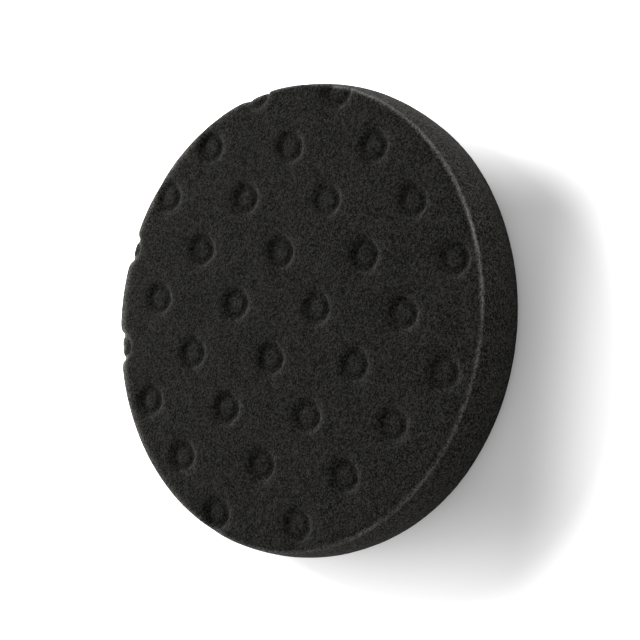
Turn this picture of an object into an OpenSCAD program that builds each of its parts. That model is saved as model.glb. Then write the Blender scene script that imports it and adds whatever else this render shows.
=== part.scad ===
// A foam polishing pad for a rotary or orbital car polisher.
// It lies flat on its loop side. The origin is the centre of the loop side, and +Z is
// the pad's axis, out of the working face. +X and +Y run along the rows of pockets.

/* [Foam disc] */
// Diameter of the foam disc at the rims of its face and back
foam_d = 165; // [150:1:180]
// How far the wall bulges out half way down
wall_bulge = 1.5; // [0:0.1:3]
// Thickness of the foam disc
foam_t = 22.2; // [16:0.1:35]
// Rounding of the rim of the working face
face_round = 0.8; // [0.5:0.1:1.5]
// Rounding of the rim of the foam's back
back_round = 1; // [0.5:0.1:4]

/* [Pockets] */
// Distance from one pocket to its nearest neighbours
pocket_pitch = 26.7; // [25:0.1:32]
// Distance of the pocket nearest the axis, along X
pocket_x = 12.9; // [0:0.1:13]
// Distance of the pocket nearest the axis, along Y
pocket_y = 3.7; // [0:0.1:13]
// Radius of a pocket's soft lip, where it leaves the face
lip_r = 8.6; // [8:0.1:10]
// Radius of a pocket's mouth, where the lip turns into the wall
mouth_r = 7; // [6:0.1:7.5]
// Radius of a pocket's flat floor
floor_r = 5; // [4:0.1:5.5]
// Depth of the lip
lip_depth = 0.3; // [0.1:0.1:0.5]
// Depth of a pocket's floor below the face
pocket_depth = 1.5; // [1.2:0.1:3]
// Radius of the button left standing in the middle of a pocket
button_r = 3.4; // [2:0.1:4]
// Height of that button above the floor
button_h = 0.4; // [0.2:0.1:0.8]

/* [Loop backing] */
// Diameter of the backing, which is the size of the plate that grips it
backing_d = 152; // [125:1:152]
// Thickness of the loop pile
pile_t = 1.6; // [1:0.1:3]
// Thickness of the cloth that carries the loops
cloth_t = 0.5; // [0.3:0.1:1]
// Thickness of the adhesive film between the cloth and the foam
film_t = 0.3; // [0.2:0.1:0.6]

/* [Hidden] */
$fn = 96;
// Steps along each rounded rim, and down the wall
round_steps = 6;
wall_steps = 8;
// How far a cutter stands above the face
above = 1;
// Pockets sit on every second crossing of a square grid with this spacing
grid_step = pocket_pitch / sqrt(2);
// A pocket whose centre is further outside the rim than this leaves no mark
rim_over = 3;
grid_reach = ceil(foam_d / 2 / grid_step) + 1;
foam_r = foam_d / 2;
cloth_z = pile_t;
film_z = cloth_z + cloth_t;
foam_z = film_z + film_t;
face_z = foam_z + foam_t;
// The lip's slope, carried on above the face so that the cut is a clean cone
lip_slope = (lip_r - mouth_r) / lip_depth;
lip_over = 0.2;

// Points of a quarter round with its centre at c, turning from angle a to a + 90
function quarter(c, r, a) =
    [for (i = [0 : round_steps]) c + r * [cos(a + 90 * i / round_steps), sin(a + 90 * i / round_steps)]];

// Points up the bulging wall between the two rounded rims
function wall_points() = let (low = back_round, high = foam_t - face_round)
    [for (i = [1 : wall_steps - 1]) let (share = i / wall_steps)
        [foam_r + wall_bulge * sin(180 * share), low + (high - low) * share]];

// Half section of the foam blank, from its axis to its wall
function blank_section() = concat(
    [[0, 0]],
    quarter([foam_r - back_round, back_round], back_round, -90),
    wall_points(),
    quarter([foam_r - face_round, foam_t - face_round], face_round, 0),
    [[0, foam_t]]);

// Half section of what one pocket takes away, with z = 0 at the face
function pocket_section() = [
    [0, above],
    [0, button_h - pocket_depth],
    [button_r - button_h, button_h - pocket_depth],
    [button_r, -pocket_depth],
    [floor_r, -pocket_depth],
    [mouth_r, -lip_depth],
    [lip_r + lip_over * lip_slope, lip_over],
    [lip_r + lip_over * lip_slope, above]];

// Where every pocket is, those that the rim cuts through included
pocket_places = [
    for (i = [-grid_reach : grid_reach], j = [-grid_reach : grid_reach])
        let (place = [pocket_x + i * grid_step, pocket_y + j * grid_step])
        if ((i + j) % 2 == 0 && norm(place) < foam_r + rim_over) place];

module foam_disc() {
    color("#282727")
    difference() {
        translate([0, 0, foam_z]) rotate_extrude() polygon(blank_section());
        for (place = pocket_places)
            translate([place.x, place.y, face_z]) rotate_extrude() polygon(pocket_section());
    }
}

module adhesive_film() {
    color("#b9b2a0")
    translate([0, 0, film_z]) cylinder(d = backing_d, h = film_t);
}

module backing_cloth() {
    color("#2b2b2d")
    translate([0, 0, cloth_z]) cylinder(d = backing_d, h = cloth_t);
}

module loop_pile() {
    color("#333336")
    cylinder(d = backing_d, h = pile_t);
}

foam_disc();
adhesive_film();
backing_cloth();
loop_pile();
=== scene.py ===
"""A black foam polishing pad, lying on its loop side.

Its pieces are the foam disc with its pressed pockets, the film of adhesive under it, the knitted
backing cloth and the loop pile. Lengths are in metres, and MM turns millimetres into them.
"""

from math import cos, pi, radians, sin, sqrt, tau

import bpy
import numpy as np
from mathutils import Matrix, Vector, noise


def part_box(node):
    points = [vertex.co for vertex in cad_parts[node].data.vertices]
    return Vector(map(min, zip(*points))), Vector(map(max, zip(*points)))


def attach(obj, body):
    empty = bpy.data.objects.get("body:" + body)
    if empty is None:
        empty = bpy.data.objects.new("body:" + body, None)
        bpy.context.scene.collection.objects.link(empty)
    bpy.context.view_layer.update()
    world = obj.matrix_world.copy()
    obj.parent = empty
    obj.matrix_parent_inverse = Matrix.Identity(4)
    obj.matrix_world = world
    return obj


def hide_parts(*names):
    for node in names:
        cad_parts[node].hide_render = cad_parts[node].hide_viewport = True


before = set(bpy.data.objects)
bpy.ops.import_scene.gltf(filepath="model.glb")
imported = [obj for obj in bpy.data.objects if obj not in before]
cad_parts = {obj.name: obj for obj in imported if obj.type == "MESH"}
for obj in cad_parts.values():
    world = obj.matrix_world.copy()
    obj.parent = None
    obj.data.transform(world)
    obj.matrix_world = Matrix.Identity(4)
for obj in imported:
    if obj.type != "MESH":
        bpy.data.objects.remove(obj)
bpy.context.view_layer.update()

MM = 0.001

# ---------------------------------------------------------------- sizes, from the frame

foam_low, foam_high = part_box("foam_disc")
film_low, film_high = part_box("adhesive_film")
cloth_low, cloth_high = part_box("backing_cloth")

# The foam's wall bulges half way down; its rims are that much smaller
WALL_BULGE = 1.5 * MM
FOAM_R = foam_high.x - WALL_BULGE
FACE_Z = foam_high.z
BACK_Z = foam_low.z
BACKING_R = cloth_high.x

# Rounding of the foam's rim at the working face and at its back
FACE_ROUND = 0.8 * MM
BACK_ROUND = 1.0 * MM

# The face rolls over by this much, across this width inside its rim
SHOULDER = 4.0 * MM
SHOULDER_DROP = 0.25 * MM

# The pockets sit on every second crossing of a square grid
GRID_STEP = 26.7 * MM / sqrt(2)
GRID_PLACE = Vector((12.9 * MM, 3.7 * MM))
POCKET_FLOOR_R = 5.0 * MM
POCKET_DEPTH = 1.15 * MM
# How fast a pocket's wall fades out into the face
WALL_FADE = 1.05 * MM
# The button left standing in the middle of a pocket, and how sharp its edge is
BUTTON_R = 3.3 * MM
BUTTON_EDGE = 0.105 * MM
BUTTON_H = 0.50 * MM
# A pocket whose centre is further outside the rim than this leaves no mark
RIM_OVER = 3 * MM

# The backing: ribs of the knitting along Y, and a row of loops on every rib
RIB_PITCH = 1.5 * MM
RIB_DEPTH = 0.16 * MM
LOOP_PITCH = 2.4 * MM
STRAND_R = 0.14 * MM
# How deep a loop's feet stand in the cloth
FOOT_DEPTH = 0.06 * MM


# ---------------------------------------------------------------- finishes

class Value:
    """A number that varies over a surface. Arithmetic on it adds Math nodes."""

    def __init__(self, finish, socket):
        self.finish = finish
        self.socket = socket

    def math(self, operation, *terms):
        return self.finish.node("ShaderNodeMath", {"operation": operation}, dict(enumerate(terms)))

    def __add__(self, other):
        return self.math("ADD", self, other)

    def __sub__(self, other):
        return self.math("SUBTRACT", self, other)

    def __rsub__(self, other):
        return self.math("SUBTRACT", other, self)

    def __mul__(self, other):
        return self.math("MULTIPLY", self, other)

    __radd__ = __add__
    __rmul__ = __mul__

    def at_least(self, low):
        return self.math("MAXIMUM", self, low)

    def ease(self, low, high):
        """0 below low, 1 above high, and smooth between them."""
        return self.finish.node(
            "ShaderNodeMapRange",
            {"interpolation_type": "SMOOTHSTEP"},
            {"Value": self, "From Min": low, "From Max": high},
        )


class Finish:
    """A node material, and the few ways that its nodes are added."""

    def __init__(self, name, **constants):
        self.material = bpy.data.materials.new(name)
        self.material.use_nodes = True
        self.tree = self.material.node_tree
        self.shader = self.tree.nodes["Principled BSDF"]
        for socket, value in constants.items():
            self.shader.inputs[socket.replace("_", " ")].default_value = value

    def node(self, kind, settings=None, inputs=None, output=0):
        made = self.tree.nodes.new(kind)
        for name, value in (settings or {}).items():
            setattr(made, name, value)
        for socket, value in (inputs or {}).items():
            self.feed(made.inputs[socket], value)
        return Value(self, made.outputs[output])

    def feed(self, socket, value):
        if isinstance(value, Value):
            self.tree.links.new(value.socket, socket)
        else:
            socket.default_value = value

    def place(self, scale=1.0):
        """The place on the object, in millimetres times scale."""
        here = self.node("ShaderNodeTexCoord", output="Object")
        size = [scale / MM] * 3 if isinstance(scale, (int, float)) else [s / MM for s in scale]
        return self.node("ShaderNodeVectorMath", {"operation": "MULTIPLY"}, {0: here, 1: size})

    def noise(self, size, detail=2.0, rough=0.5, stretch=(1, 1, 1)):
        """Noise whose blotches are about size millimetres across."""
        where = self.place([s / size for s in stretch])
        return self.node(
            "ShaderNodeTexNoise",
            inputs={"Vector": where, "Scale": 1.0, "Detail": detail, "Roughness": rough},
        )

    def cells(self, size, output="Distance"):
        """Cells about size millimetres across: the distance to their middle, or a random Color."""
        inputs = {"Vector": self.place(1 / size), "Scale": 1.0}
        return self.node("ShaderNodeTexVoronoi", inputs=inputs, output=output)

    def spread(self, name):
        """A number that the mesh carries at each of its points."""
        return self.node("ShaderNodeAttribute", {"attribute_name": name}, output="Fac")

    def along(self, axis):
        """The place on the object along one axis, in metres."""
        here = self.node("ShaderNodeTexCoord", output="Object")
        return self.node("ShaderNodeSeparateXYZ", inputs={0: here}, output=axis)

    def mix(self, share, first, second):
        """A colour between first and second."""
        inputs = {0: share, 6: first, 7: second}
        return self.node("ShaderNodeMix", {"data_type": "RGBA"}, inputs, output=2)

    def dim(self, colour, by):
        """colour times the number by."""
        return self.node("ShaderNodeVectorMath", {"operation": "SCALE"}, {0: colour, "Scale": by})

    def relief(self, height, depth):
        """Bumps of that depth in metres."""
        rise = {"Height": height, "Distance": depth}
        bump = self.node("ShaderNodeBump", inputs=rise, output="Normal")
        self.feed(self.shader.inputs["Normal"], bump)

    def colour(self, value):
        self.feed(self.shader.inputs["Base Color"], value)

    def roughness(self, value):
        self.feed(self.shader.inputs["Roughness"], value)


def foam_finish():
    """Fine open-cell foam: sandy grain, soft mottling, pale specks, and a painted rim highlight
    and painted shade.
    """
    finish = Finish("black_open_cell_foam", Specular_IOR_Level=0.04)
    grain = finish.noise(0.4, detail=2.0, rough=0.65)
    cell = finish.cells(0.42, output="Color")
    mottle = finish.noise(7.0, detail=3.0)
    drift = finish.noise(34.0, detail=1.0)
    pressed = finish.spread("pressed")
    rim_highlight = finish.spread("rim_highlight")
    heel_shade = finish.spread("heel_shade")
    warmth = finish.noise(9.0)
    tone = finish.mix(warmth, (0.0149, 0.0143, 0.0127, 1), (0.0142, 0.0140, 0.0134, 1))
    light = 1 + 3.0 * (grain - 0.5) + 3.8 * (cell - 0.5) + 0.5 * (mottle - 0.5)
    # Painted highlight along the rim, broken up by the foam's cells
    broken_highlight = rim_highlight * (0.6 + 4.8 * cell)
    # Painted light: the pockets are made a little lighter against their shade; the rim's painted
    # highlight is added and the painted shade at the foot of the wall taken off
    light = light + 0.3 * (drift - 0.5) + 0.15 * pressed + broken_highlight - 0.9 * heel_shade
    speck = (1 - finish.cells(3.4).ease(0.05, 0.11)) * finish.noise(5.0).ease(0.56, 0.62)
    light = (light + 1.2 * speck).at_least(0.15)
    finish.colour(finish.dim(tone, light))
    finish.roughness(0.92 - 0.1 * pressed)
    finish.relief(0.6 * grain + 0.4 * cell, 0.2 * MM)
    return finish.material


def film_finish():
    """Amber hot-melt film."""
    finish = Finish("amber_hot_melt", Specular_IOR_Level=0.4)
    cloud = finish.noise(3.0, detail=3.0)
    finish.colour(finish.mix(cloud, (0.36, 0.30, 0.20, 1), (0.50, 0.44, 0.33, 1)))
    finish.roughness(0.3 + 0.25 * cloud)
    finish.relief(cloud, 0.1 * MM)
    return finish.material


def cloth_finish():
    """Black knitted ground cloth."""
    finish = Finish("black_knit", Sheen_Weight=0.2, Specular_IOR_Level=0.2)
    fibre = finish.noise(0.3, detail=3.0, stretch=(1, 4, 1))
    finish.colour(finish.mix(fibre, (0.02, 0.02, 0.022, 1), (0.034, 0.034, 0.037, 1)))
    finish.roughness(0.75 + 0.15 * fibre)
    finish.relief(fibre, 0.08 * MM)
    return finish.material


def loop_finish():
    """Black nylon loops with the slight gloss of filament."""
    finish = Finish("black_nylon_loops", Sheen_Weight=0.35, Specular_IOR_Level=0.4)
    strand = finish.noise(0.5, detail=2.0)
    finish.colour(finish.mix(strand, (0.022, 0.022, 0.024, 1), (0.045, 0.045, 0.05, 1)))
    finish.roughness(0.45 + 0.2 * strand)
    return finish.material


def floor_finish():
    """A pale floor that glows as painted light: a little everywhere, strongly past the pad's -X
    and +Y sides to light its wall, and some past its -Y and +X sides, which also washes out its
    shadow.
    """
    finish = Finish("pale_floor", Specular_IOR_Level=0.1, Roughness=0.9, Emission_Strength=1.0)
    cloud = finish.noise(160.0)
    finish.colour(finish.mix(cloud, (0.80, 0.80, 0.80, 1), (0.84, 0.84, 0.84, 1)))
    left = (0 - finish.along("X")).ease(0.0, 0.2)
    beyond = finish.along("Y").ease(0.04, 0.12)
    near = (0 - finish.along("Y")).ease(0.05, 0.13)
    right = finish.along("X").ease(0.085, 0.13)
    glow = FLOOR_GLOW + 2.5 * left + 2.7 * beyond + 0.8 * near + 0.55 * right
    finish.feed(finish.shader.inputs["Emission Color"], finish.dim((1, 1, 1), glow))
    return finish.material


# ---------------------------------------------------------------- mesh helpers

def add_mesh(name, points, faces, finish, smooth=True):
    mesh = bpy.data.meshes.new(name)
    mesh.from_pydata(points, [], faces)
    mesh.validate()
    mesh.polygons.foreach_set("use_smooth", [smooth] * len(mesh.polygons))
    mesh.materials.append(finish)
    piece = bpy.data.objects.new(name, mesh)
    bpy.context.scene.collection.objects.link(piece)
    return piece


def steps(start, end, size):
    """Evenly spaced values from start to end, about size apart, with both ends."""
    return np.linspace(start, end, max(2, round(abs(end - start) / size) + 1))


def turned(section, counts):
    """Turns a half section round the Z axis.

    section is rows of (radius, height), from the axis to the axis again. counts gives how many
    points each ring has: neighbours have equal counts, or one has twice the other's, and the
    two ends on the axis have 1. Returns the points' angles, radii and heights, and the faces.
    """
    starts = np.concatenate([[0], np.cumsum(counts)])
    angle = np.concatenate([np.arange(n) / n * tau for n in counts])
    radius = np.repeat([r for r, z in section], counts)
    height = np.repeat([z for r, z in section], counts)
    faces = []
    for k, (n, m) in enumerate(zip(counts, counts[1:])):
        inner, outer = starts[k], starts[k + 1]
        if n == m:
            faces += [
                (inner + j, outer + j, outer + (j + 1) % n, inner + (j + 1) % n) for j in range(n)
            ]
        elif n == 1:
            faces += [(inner, outer + j, outer + (j + 1) % m) for j in range(m)]
        elif m == 1:
            faces += [(inner + j, outer, inner + (j + 1) % n) for j in range(n)]
        elif m == 2 * n:
            for j in range(n):
                a, b = inner + j, inner + (j + 1) % n
                c, d, e = outer + 2 * j, outer + 2 * j + 1, outer + (2 * j + 2) % m
                faces += [(a, c, d), (a, d, b), (b, d, e)]
        else:
            for j in range(m):
                a, b = outer + j, outer + (j + 1) % m
                c, d, e = inner + 2 * j, inner + 2 * j + 1, inner + (2 * j + 2) % n
                faces += [(c, a, d), (d, a, b), (d, b, e)]
    return angle, radius, height, faces


def ring_counts(radii, most, full_r):
    """Points per ring, halved each time the radius falls under half of the last limit."""
    counts = []
    for r in radii:
        n = most
        limit = full_r / 2
        while r < limit and n > most / 16:
            n //= 2
            limit /= 2
        counts.append(1 if r < 1e-9 else n)
    return counts


def waves(points, size, seed=0.0):
    """Smooth noise from about -1 to 1 at each point, with waves about size long."""
    shift = Vector((seed, seed * 1.7, seed * 2.3))
    return np.array([noise.noise(Vector(p) / size + shift) for p in points])


# ---------------------------------------------------------------- the foam disc

def pocket_places(rng):
    """Centre and depth share of every pocket that reaches into the disc."""
    reach = int(FOAM_R / GRID_STEP) + 2
    places = []
    for i in range(-reach, reach + 1):
        for j in range(-reach, reach + 1):
            centre = GRID_PLACE + Vector((i, j)) * GRID_STEP
            wander = Vector(rng.normal(0, 0.12 * MM, 2))
            depth = rng.uniform(0.9, 1.1)
            if (i + j) % 2 == 0 and centre.length < FOAM_R + RIM_OVER:
                places.append((centre + wander, depth))
    return places


def pocket_shape(away):
    """Depth of one pocket, from 0 to 1, at that distance from its centre."""
    wall = np.exp(-np.maximum(away - POCKET_FLOOR_R, 0) / WALL_FADE)
    button = 1 / (1 + np.exp((away - BUTTON_R) / BUTTON_EDGE))
    dome = 1 - 0.25 * (away / BUTTON_R) ** 2
    return wall - BUTTON_H / POCKET_DEPTH * button * dome


def foam_section():
    """Half section of the foam: face, rim, wall, back rim and back, with its ring counts."""
    fine, coarse = 0.68 * MM, 0.95 * MM
    bend = np.linspace(0, pi / 2, 6)
    face = [(r, FACE_Z) for r in steps(0, FOAM_R - FACE_ROUND, fine)]
    rim = [
        (FOAM_R - FACE_ROUND * (1 - sin(a)), FACE_Z - FACE_ROUND * (1 - cos(a))) for a in bend[1:]
    ]
    heights = steps(FACE_Z - FACE_ROUND, BACK_Z + BACK_ROUND, coarse)
    bulge = WALL_BULGE * np.sin(np.linspace(0, pi, len(heights)))
    wall = list(zip(FOAM_R + bulge, heights))[1:]
    heel = [
        (FOAM_R - BACK_ROUND * (1 - cos(a)), BACK_Z + BACK_ROUND * (1 - sin(a))) for a in bend[1:]
    ]
    back = [(r, BACK_Z) for r in steps(FOAM_R - BACK_ROUND, BACKING_R - 3 * MM, coarse)][1:]
    hidden = [(BACKING_R * share, BACK_Z) for share in (0.9, 0.7, 0.4, 0.2, 0.1, 0.05, 0)]
    shown = face + rim + wall + heel + back
    most = 768
    counts = ring_counts([r for r, z in face], most, FOAM_R)
    counts += [most] * (len(shown) - len(face))
    counts += [384, 192, 96, 48, 24, 12, 1]
    return shown + hidden, counts


def make_foam(finish):
    rng = np.random.default_rng(7)
    section, counts = foam_section()
    angle, radius, height, faces = turned(section, counts)
    x, y = radius * np.cos(angle), radius * np.sin(angle)

    # How far the rim was cut off a true circle
    around = np.stack([np.cos(angle), np.sin(angle), np.zeros_like(angle)], axis=1)
    wander = 0.30 * MM * waves(around, 0.8, 3.1) + 0.12 * MM * waves(around, 0.25, 5.2)
    rim_share = np.clip((radius - 0.6 * FOAM_R) / (0.4 * FOAM_R), 0, 1) ** 3

    # The pockets press the face down, and more so where the rim cuts them
    press = np.zeros_like(x)
    for centre, depth in pocket_places(rng):
        away = np.hypot(x - centre.x, y - centre.y)
        near = away < 16 * MM
        press[near] = np.maximum(press[near], depth * pocket_shape(away[near]))
    at_rim = np.clip((radius - 0.86 * FOAM_R) / (0.14 * FOAM_R), 0, 1) ** 2
    below = np.clip((FACE_Z - height) / (9 * MM), 0, 1)
    down = POCKET_DEPTH * press * (1 + 1.1 * at_rim) * (1 - below) ** 2
    radius = radius + wander * rim_share
    height = height - down
    x, y = radius * np.cos(angle), radius * np.sin(angle)

    # The face rolls over a little before it meets the rim
    roll = np.clip((radius - FOAM_R) / SHOULDER + 1, 0, 1) ** 2
    height = height - SHOULDER_DROP * roll * (1 - below)
    points = np.stack([x, y, height], axis=1)

    # The cut surface isn't quite even
    shown = (height > BACK_Z + 0.1 * MM) | (radius > BACKING_R)
    grit = 0.045 * MM * waves(points, 1.5 * MM, 1.3) + 0.06 * MM * waves(points, 4.5 * MM, 2.9)
    swell = 0.12 * MM * waves(points, 22 * MM, 8.4)
    flat = (FACE_Z - points[:, 2] < 3 * MM) & (radius < FOAM_R - FACE_ROUND)
    points[:, 2] += np.where(flat, grit + swell, 0)
    side = shown & ~flat
    points[:, 0] += np.where(side, grit * np.cos(angle), 0)
    points[:, 1] += np.where(side, grit * np.sin(angle), 0)

    # Painted highlight along the face's rim, wider and brighter on the -X side where the light
    # falls, with a painted glint near 25 degrees; painted shade at the foot of the wall, where it
    # stands out past the backing
    lit_side = np.maximum(-np.cos(angle), 0)
    glint = np.exp(-(((angle - radians(25)) / radians(17)) ** 2))
    highlight_width = (0.5 + 1.7 * lit_side) * MM
    rim_highlight = np.exp(-(((radius - FOAM_R + 0.4 * FACE_ROUND) / highlight_width) ** 2)) * (below < 0.1)
    rim_highlight *= 1 + 0.9 * lit_side + 0.8 * glint + 0.9 * waves(around, 0.16, 7.7)
    # Painted shade on the lowest 1.7 mm of the wall, where it stands out past the backing
    heel_shade = np.clip(1 - (height - BACK_Z) / (1.7 * MM), 0, 1) ** 0.5 * (radius > BACKING_R)
    foam = add_mesh("dimpled_foam", points.tolist(), [tuple(map(int, f)) for f in faces], finish)
    marks = {"pressed": np.clip(press, 0, 1), "rim_highlight": rim_highlight, "heel_shade": heel_shade}
    for name, values in marks.items():
        spread = foam.data.attributes.new(name, "FLOAT", "POINT")
        spread.data.foreach_set("value", values.astype(np.float32))
    return foam


# ---------------------------------------------------------------- film, cloth and loops

def make_film(finish):
    """The film of adhesive, squeezed out to a soft, slightly wavy edge."""
    low, high = film_low.z, film_high.z
    round_r = (high - low) / 2
    edge = BACKING_R - 0.5 * MM
    bend = np.linspace(0, pi, 7)
    flat = [0, 10 * MM, 20 * MM, 30 * MM, 40 * MM, 50 * MM, 60 * MM, 70 * MM, edge - round_r]
    section = [(r, high) for r in flat[:-1]]
    section += [(edge - round_r * (1 - sin(a)), low + round_r * (1 + cos(a))) for a in bend]
    section += [(r, low) for r in flat[-2::-1]]
    counts = [1 if r == 0 else 288 for r, z in section]
    angle, radius, height, faces = turned(section, counts)
    around = np.stack([np.cos(angle), np.sin(angle), np.zeros_like(angle)], axis=1)
    wavy = 0.25 * MM * waves(around, 0.12, 4.4) + 0.15 * MM * waves(around, 0.5, 9.2)
    radius = radius + wavy * (radius > edge - 2 * round_r)
    points = np.stack([radius * np.cos(angle), radius * np.sin(angle), height], axis=1)
    return add_mesh("hot_melt_film", points.tolist(), [tuple(map(int, f)) for f in faces], finish)


def make_cloth(finish):
    """The ground cloth: ribs of knitting along Y on its underside, and a flat bonded side."""
    low, high = cloth_low.z, cloth_high.z
    reach = BACKING_R - 0.05 * MM
    across = steps(-reach, reach, RIB_PITCH / 6)
    share = np.linspace(-1, 1, 121)
    half = np.sqrt(BACKING_R**2 - across**2)
    x = np.repeat(across, len(share))
    y = (half[:, None] * share[None, :]).ravel()
    rib = np.abs(np.sin(pi * x / RIB_PITCH)) ** 0.7
    stitch = waves(np.stack([x, y, np.zeros_like(x)], axis=1), 1.6 * MM, 6.1)
    rim = np.abs(np.tile(share, len(across))) == 1
    under = low + RIB_DEPTH * (1 - rib) + 0.04 * MM * np.abs(stitch)
    under = np.where(rim, low + RIB_DEPTH / 2, under)
    points = np.stack([x, y, under], axis=1).tolist()
    n, m = len(across), len(share)
    faces = [
        (i * m + j, i * m + j + 1, (i + 1) * m + j + 1, (i + 1) * m + j)
        for i in range(n - 1)
        for j in range(m - 1)
    ]
    top = len(points)
    for place, wide in zip(across, half):
        points += [(place, -wide, high), (place, wide, high)]
    for i in range(n - 1):
        a, b = top + 2 * i, top + 2 * i + 2
        faces += [(a, b, b + 1, a + 1)]
        faces += [(i * m, (i + 1) * m, b, a), ((i + 1) * m + m - 1, i * m + m - 1, a + 1, b + 1)]
    last = (n - 1) * m
    faces.append(tuple(range(m - 1, -1, -1)) + (top, top + 1))
    faces.append(tuple(range(last, last + m)) + (top + 2 * n - 1, top + 2 * n - 2))
    return add_mesh("knitted_backing", points, faces, finish, smooth=False)


def make_loops(finish):
    """Rows of small leaning nylon loops, each with both its feet in the cloth."""
    rng = np.random.default_rng(11)
    reach = int(BACKING_R / RIB_PITCH) + 1
    feet = []
    for i in range(-reach, reach + 1):
        for y in np.arange(-BACKING_R, BACKING_R, LOOP_PITCH) + (i % 2) * LOOP_PITCH / 2:
            feet.append((i * RIB_PITCH, y))
    feet = np.array(feet) + rng.normal(0, 0.18 * MM, (len(feet), 2))
    feet = feet[np.hypot(feet[:, 0], feet[:, 1]) < BACKING_R - 1.9 * MM]
    count = len(feet)

    bend = np.linspace(0, pi, 7)
    turn = pi / 2 + rng.normal(0, 0.5, count)
    along = np.stack([np.cos(turn), np.sin(turn), np.zeros(count)], axis=1)
    aside = np.stack([-np.sin(turn), np.cos(turn), np.zeros(count)], axis=1)
    down = np.array([0, 0, -1.0])
    half = rng.uniform(0.75, 1.15, count) * MM
    drop = rng.uniform(1.1, 1.42, count) * MM
    lean = rng.normal(0.25, 0.3, count).clip(-0.6, 0.8)

    def spread(vectors, sizes, shape):
        """Each loop's vector, times its size, times the shape along its strand."""
        return vectors[:, None, :] * (sizes[:, None] * shape[None, :])[:, :, None]

    start = np.column_stack([feet, np.full(count, cloth_low.z + FOOT_DEPTH)])
    middle = start[:, None, :] - spread(along, half, np.cos(bend))
    middle = middle + spread(aside, lean * drop, np.sin(bend))
    middle = middle + spread(np.tile(down, (count, 1)), drop, np.sin(bend))
    tangent = np.gradient(middle, axis=1)
    tangent /= np.linalg.norm(tangent, axis=2, keepdims=True)
    first = np.cross(tangent, aside[:, None, :])
    first /= np.linalg.norm(first, axis=2, keepdims=True)
    second = np.cross(tangent, first)
    rings = [
        middle + STRAND_R * (cos(a) * first + sin(a) * second) for a in (0, tau / 3, 2 * tau / 3)
    ]
    points = np.stack(rings, axis=2).reshape(-1, 3)
    pattern = [
        (3 * s + j, 3 * s + (j + 1) % 3, 3 * s + 3 + (j + 1) % 3, 3 * s + 3 + j)
        for s in range(len(bend) - 1)
        for j in range(3)
    ]
    end = 3 * len(bend)
    pattern += [(2, 1, 0), (end - 3, end - 2, end - 1)]
    faces = [tuple(end * k + v for v in face) for k in range(count) for face in pattern]
    return add_mesh("nylon_loops", points.tolist(), faces, finish)


# ---------------------------------------------------------------- camera, floor and light

FLOOR_GLOW = 0.15


def make_camera():
    """Stands on the +X side, high over the face, with the pad's +Y upwards in its view."""
    turn, lift, roll = radians(-2.94), radians(50.52), radians(-82.62)
    distance = 720.0 * MM
    aim = Vector((14.8 * MM, -0.4 * MM, FACE_Z))
    back = Vector((cos(lift) * cos(turn), cos(lift) * sin(turn), sin(lift)))
    data = bpy.data.cameras.new("camera")
    data.sensor_width = 36
    data.lens = 116.93
    camera = bpy.data.objects.new("camera", data)
    bpy.context.scene.collection.objects.link(camera)
    facing = back.to_track_quat("Z", "Y").to_matrix().to_4x4() @ Matrix.Rotation(roll, 4, "Z")
    camera.matrix_world = Matrix.Translation(aim + back * distance) @ facing
    bpy.context.scene.camera = camera


def make_floor():
    half = 2.5
    corners = [(-half, -half, 0), (half, -half, 0), (half, half, 0), (-half, half, 0)]
    floor = add_mesh("floor", corners, [(0, 1, 2, 3)], floor_finish(), smooth=False)


def add_lamp(name, turn, lift, distance, size, power):
    """A soft rectangular lamp that faces the pad, turn degrees round from +X, lift degrees up."""
    a, e = radians(turn), radians(lift)
    towards = Vector((cos(a) * cos(e), sin(a) * cos(e), sin(e)))
    data = bpy.data.lights.new(name, "AREA")
    data.shape = "RECTANGLE"
    data.size, data.size_y = size
    data.energy = power
    lamp = bpy.data.objects.new(name, data)
    lamp.location = towards * distance
    lamp.rotation_mode = "QUATERNION"
    lamp.rotation_quaternion = towards.to_track_quat("Z", "Y")
    bpy.context.scene.collection.objects.link(lamp)


def make_light():
    add_lamp("key", 158, 28, 1.5, (0.4, 0.3), 18)
    add_lamp("right_strip", 60, 6, 1.2, (1.0, 0.12), 4.5)
    add_lamp("far_strip", 112, 6, 1.2, (1.0, 0.12), 8.5)
    add_lamp("left_strip", 175, 8, 1.2, (1.0, 0.12), 22)
    add_lamp("near_strip", 255, 6, 1.2, (1.0, 0.12), 7)
    world = bpy.data.worlds.new("pale_room")
    world.use_nodes = True
    world.node_tree.nodes["Background"].inputs["Color"].default_value = (1, 1, 1, 1)
    world.node_tree.nodes["Background"].inputs["Strength"].default_value = 0.36
    bpy.context.scene.world = world
    bpy.context.scene.view_settings.view_transform = "Standard"


# ---------------------------------------------------------------- put together

make_camera()
make_floor()
make_light()

foam = make_foam(foam_finish())
film = make_film(film_finish())
cloth = make_cloth(cloth_finish())
loops = make_loops(loop_finish())
for piece, node_name, slot in (
    (foam, "foam_disc", "foam"),
    (film, "adhesive_film", "adhesive"),
    (cloth, "backing_cloth", "cloth"),
    (loops, "loop_pile", "loops"),
):
    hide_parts(node_name)
    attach(piece, "root")
